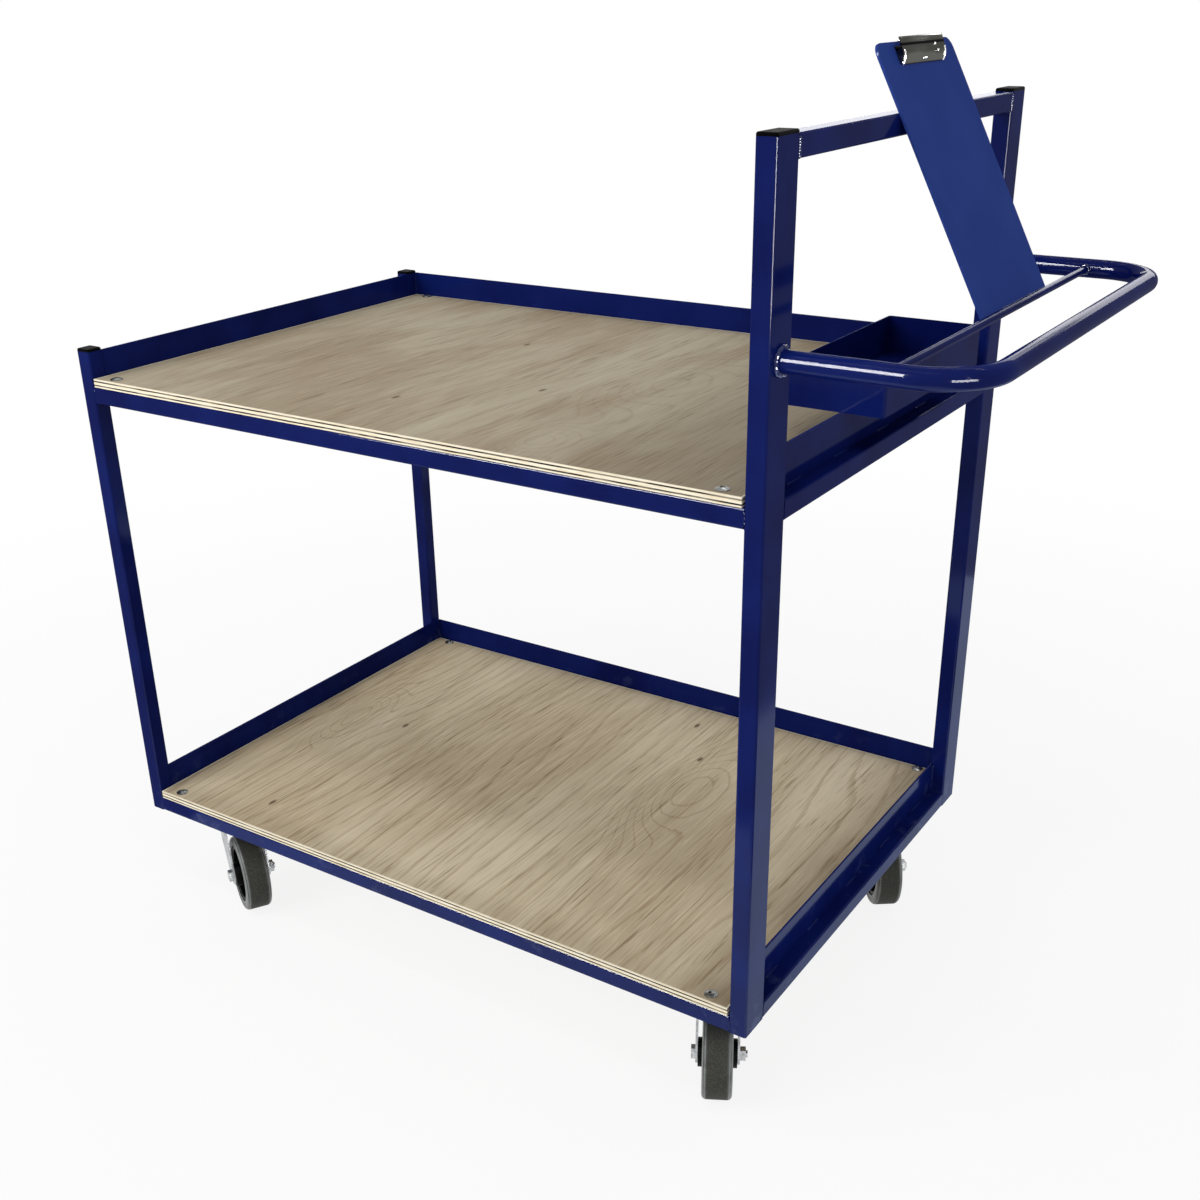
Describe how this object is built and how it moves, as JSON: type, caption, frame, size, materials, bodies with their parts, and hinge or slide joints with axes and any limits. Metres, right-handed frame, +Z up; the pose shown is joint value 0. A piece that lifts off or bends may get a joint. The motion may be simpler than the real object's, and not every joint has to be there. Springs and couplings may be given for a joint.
{
  "type": "order picking trolley",
  "caption": "Order picking trolley: blue box-section steel frame, plywood decks with lips on three sides, push handle, parts tray, leaning clipboard and swivel casters.",
  "frame": {"origin": "on the floor under the middle of the overall box", "axes": "+X toward the push handle end, +Y toward the lipped long side, +Z up; the open loading side is -Y"},
  "size_m": [1.3486, 0.7546, 1.3308],
  "materials": {
    "blue_powder_coat": "satin powder coat",
    "birch_plywood": "sanded, unvarnished",
    "black_plastic": "moulded",
    "zinc_steel": "bright zinc plate",
    "grey_rubber": "grey rubber",
    "bright_chrome": "polished plate"
  },
  "bodies": {
    "trolley_frame": {"board_rest_rod": "blue_powder_coat", "caster_bolts": "zinc_steel", "caster_corner_plates": "blue_powder_coat", "caster_king_pins": "zinc_steel", "clip_base": "bright_chrome", "clip_pin": "bright_chrome", "clip_rivets": "bright_chrome", "clipboard": "blue_powder_coat", "crossbar": "blue_powder_coat", "front_left_caster_plate": "zinc_steel", "front_left_post": "blue_powder_coat", "front_post_caps": "black_plastic", "front_right_caster_plate": "zinc_steel", "front_right_post": "blue_powder_coat", "lower_deck": "birch_plywood", "lower_deck_screws": "zinc_steel", "lower_front_lip": "blue_powder_coat", "lower_front_rail": "blue_powder_coat", "lower_left_rail": "blue_powder_coat", "lower_rear_lip": "blue_powder_coat", "lower_rear_rail": "blue_powder_coat", "lower_right_rail": "blue_powder_coat", "lower_side_lip": "blue_powder_coat", "pen_tray": "blue_powder_coat", "push_handle": "blue_powder_coat", "rear_left_caster_plate": "zinc_steel", "rear_left_post": "blue_powder_coat", "rear_post_caps": "black_plastic", "rear_right_caster_plate": "zinc_steel", "rear_right_post": "blue_powder_coat", "upper_deck": "birch_plywood", "upper_deck_screws": "zinc_steel", "upper_front_lip": "blue_powder_coat", "upper_front_rail": "blue_powder_coat", "upper_left_rail": "blue_powder_coat", "upper_rear_lip": "blue_powder_coat", "upper_rear_rail": "blue_powder_coat", "upper_right_rail": "blue_powder_coat", "upper_side_lip": "blue_powder_coat"},
    "front_left_swivel": {"front_left_fork": "zinc_steel", "front_left_axle_bolt": "zinc_steel"},
    "front_left_wheel": {"front_left_wheel_centre": "black_plastic", "front_left_tyre": "grey_rubber"},
    "front_right_swivel": {"front_right_fork": "zinc_steel", "front_right_axle_bolt": "zinc_steel"},
    "front_right_wheel": {"front_right_wheel_centre": "black_plastic", "front_right_tyre": "grey_rubber"},
    "rear_left_swivel": {"rear_left_fork": "zinc_steel", "rear_left_axle_bolt": "zinc_steel"},
    "rear_left_wheel": {"rear_left_wheel_centre": "black_plastic", "rear_left_tyre": "grey_rubber"},
    "rear_right_swivel": {"rear_right_fork": "zinc_steel", "rear_right_axle_bolt": "zinc_steel"},
    "rear_right_wheel": {"rear_right_wheel_centre": "black_plastic", "rear_right_tyre": "grey_rubber"},
    "clip_lever": {"clip_jaw": "bright_chrome"}
  },
  "joints": [
    {"name": "front_left_swivel_turn", "type": "hinge", "parent": "trolley_frame", "child": "front_left_swivel", "pos_m": [-0.54325, -0.306, 0.14], "axis": [0, 0, 1], "continuous": true},
    {"name": "front_left_wheel_roll", "type": "hinge", "parent": "front_left_swivel", "child": "front_left_wheel", "pos_m": [-0.50382, -0.32969, 0.0625], "axis": [0.515, 0.8572, 0], "continuous": true},
    {"name": "front_right_swivel_turn", "type": "hinge", "parent": "trolley_frame", "child": "front_right_swivel", "pos_m": [-0.54325, 0.306, 0.14], "axis": [0, 0, 1], "continuous": true},
    {"name": "front_right_wheel_roll", "type": "hinge", "parent": "front_right_swivel", "child": "front_right_wheel", "pos_m": [-0.50382, 0.32969, 0.0625], "axis": [-0.515, 0.8572, 0], "continuous": true},
    {"name": "rear_left_swivel_turn", "type": "hinge", "parent": "trolley_frame", "child": "rear_left_swivel", "pos_m": [0.35475, -0.274, 0.14], "axis": [0, 0, 1], "continuous": true},
    {"name": "rear_left_wheel_roll", "type": "hinge", "parent": "rear_left_swivel", "child": "rear_left_wheel", "pos_m": [0.37635, -0.31462, 0.0625], "axis": [0.8829, 0.4695, 0], "continuous": true},
    {"name": "rear_right_swivel_turn", "type": "hinge", "parent": "trolley_frame", "child": "rear_right_swivel", "pos_m": [0.35475, 0.274, 0.14], "axis": [0, 0, 1], "continuous": true},
    {"name": "rear_right_wheel_roll", "type": "hinge", "parent": "rear_right_swivel", "child": "rear_right_wheel", "pos_m": [0.38179, 0.23678, 0.0625], "axis": [0.809, 0.5878, 0], "continuous": true},
    {"name": "clip_lever_press", "type": "hinge", "parent": "trolley_frame", "child": "clip_lever", "pos_m": [0.42023, 0.048, 1.31466], "axis": [0, -1, 0], "range_deg": [0, 28], "stiffness_Nm_per_rad": 0.4, "springref_deg": -28.65}
  ]
}
